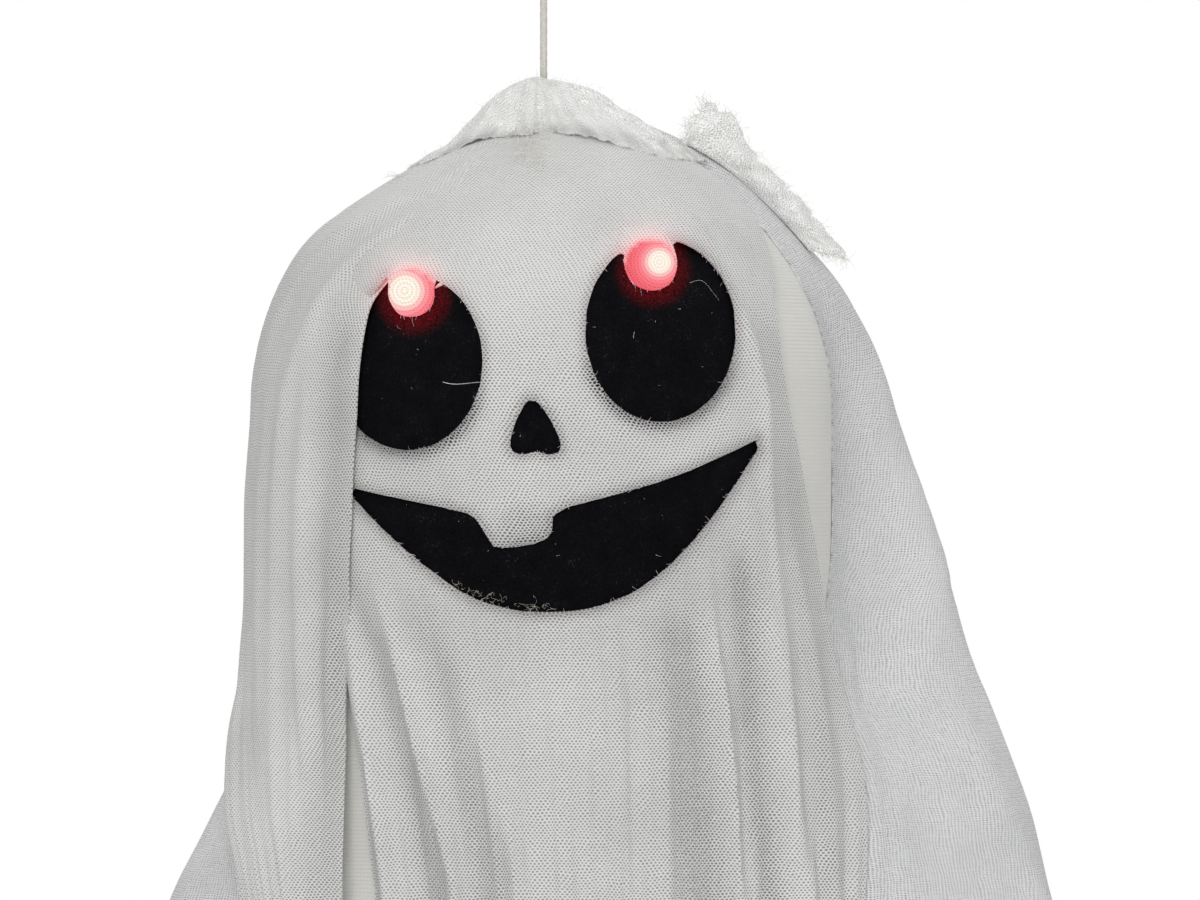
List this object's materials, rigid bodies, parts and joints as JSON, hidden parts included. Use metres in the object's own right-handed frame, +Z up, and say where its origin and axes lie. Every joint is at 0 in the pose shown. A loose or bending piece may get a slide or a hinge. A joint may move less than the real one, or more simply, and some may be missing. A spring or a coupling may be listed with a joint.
{
  "type": "animated ghost figure",
  "caption": "Hanging cloth ghost with a plastic head, lit red eyes, black felt face and, inside the cloth, a battery shaker box with a motor, gears and an eccentric weight.",
  "frame": {"origin": "top of the hanging loop, where it sits on its hook", "axes": "+Z up along the cord, -Y out of the face, +X to the right of somebody who looks at the face"},
  "size_m": [0.2609, 0.1807, 0.56],
  "materials": {
    "cord": "matte",
    "white_knit": "matte",
    "cream_knit": "matte",
    "gauze": "matte",
    "felt": "matte",
    "head_shell": "satin",
    "led_lens": "gloss",
    "lead_sheath": "satin",
    "black_plastic": "satin",
    "natural_plastic": "satin",
    "speaker_black": "matte",
    "board_green": "satin",
    "cell_wrap": "gloss",
    "steel": "satin",
    "brass": "satin",
    "cast_weight": "matte"
  },
  "bodies": {
    "hanger": {"hang_loop": "cord"},
    "cord": {"loop_knot": "cord", "hang_cord": "cord"},
    "cord_end": {"cord_tail": "cord", "stop_washer": "steel", "stop_knot": "cord"},
    "figure": {"head_front_shell": "head_shell", "head_back_shell": "head_shell", "inner_gown": "cream_knit", "face_sheet": "white_knit", "side_drape": "white_knit", "back_drape": "white_knit", "crown_gauze": "gauze", "gauze_tail": "gauze", "felt_eye_left": "felt", "felt_eye_right": "felt", "felt_nose": "felt", "felt_mouth": "felt", "led_left": "led_lens", "led_right": "led_lens", "led_sleeve_left": "black_plastic", "led_sleeve_right": "black_plastic", "eye_lead_left": "lead_sheath", "eye_lead_right": "lead_sheath", "neck_tube": "black_plastic", "box_front_cover": "black_plastic", "box_back_tray": "black_plastic", "box_screw_1": "steel", "box_screw_2": "steel", "box_screw_3": "steel", "box_screw_4": "steel", "battery_1": "cell_wrap", "battery_2": "cell_wrap", "battery_3": "cell_wrap", "battery_spring_1": "steel", "battery_spring_2": "steel", "battery_spring_3": "steel", "contact_plate_1": "steel", "contact_plate_2": "steel", "contact_plate_3": "steel", "control_board": "board_green", "speaker": "speaker_black", "microphone": "steel", "switch_body": "steel", "gear_plate": "natural_plastic", "motor": "steel", "compound_axle": "steel", "spreader_wire": "steel", "spreader_cap_left": "black_plastic", "spreader_cap_right": "black_plastic"},
    "pinion": {"motor_pinion": "brass"},
    "compound": {"compound_gear": "natural_plastic"},
    "output": {"output_gear": "natural_plastic", "output_shaft": "steel", "eccentric_weight": "cast_weight"},
    "switch": {"switch_knob": "black_plastic"},
    "cover": {"battery_cover": "black_plastic"}
  },
  "joints": [
    {"name": "cord_swing", "type": "hinge", "parent": "hanger", "child": "cord", "pos_m": [0, 0, -0.018], "axis": [0, 1, 0], "range_deg": [-15, 15]},
    {"name": "figure_nod", "type": "hinge", "parent": "cord", "child": "cord_end", "pos_m": [0, 0, -0.058], "axis": [1, 0, 0], "range_deg": [-10, 10]},
    {"name": "figure_turn", "type": "hinge", "parent": "cord_end", "child": "figure", "pos_m": [0, 0, -0.058], "axis": [0, 0, 1], "range_deg": [-180, 180]},
    {"name": "output_spin", "type": "hinge", "parent": "figure", "child": "output", "pos_m": [0.008, 0, -0.2547], "axis": [0, 1, 0], "continuous": true},
    {"name": "compound_spin", "type": "hinge", "parent": "figure", "child": "compound", "pos_m": [-0.01, 0, -0.2547], "axis": [0, 1, 0], "continuous": true},
    {"name": "pinion_spin", "type": "hinge", "parent": "figure", "child": "pinion", "pos_m": [-0.028, 0, -0.2547], "axis": [0, 1, 0], "continuous": true},
    {"name": "switch_slide", "type": "slide", "parent": "figure", "child": "switch", "axis": [0, 0, -1], "range_m": [0, 0.004]},
    {"name": "battery_cover_slide", "type": "slide", "parent": "figure", "child": "cover", "axis": [0, 0, -1], "range_m": [0, 0.05]}
  ],
  "couplings": [
    {"joint": "compound_spin", "follows": "output_spin", "ratio": -4},
    {"joint": "pinion_spin", "follows": "output_spin", "ratio": 16}
  ]
}
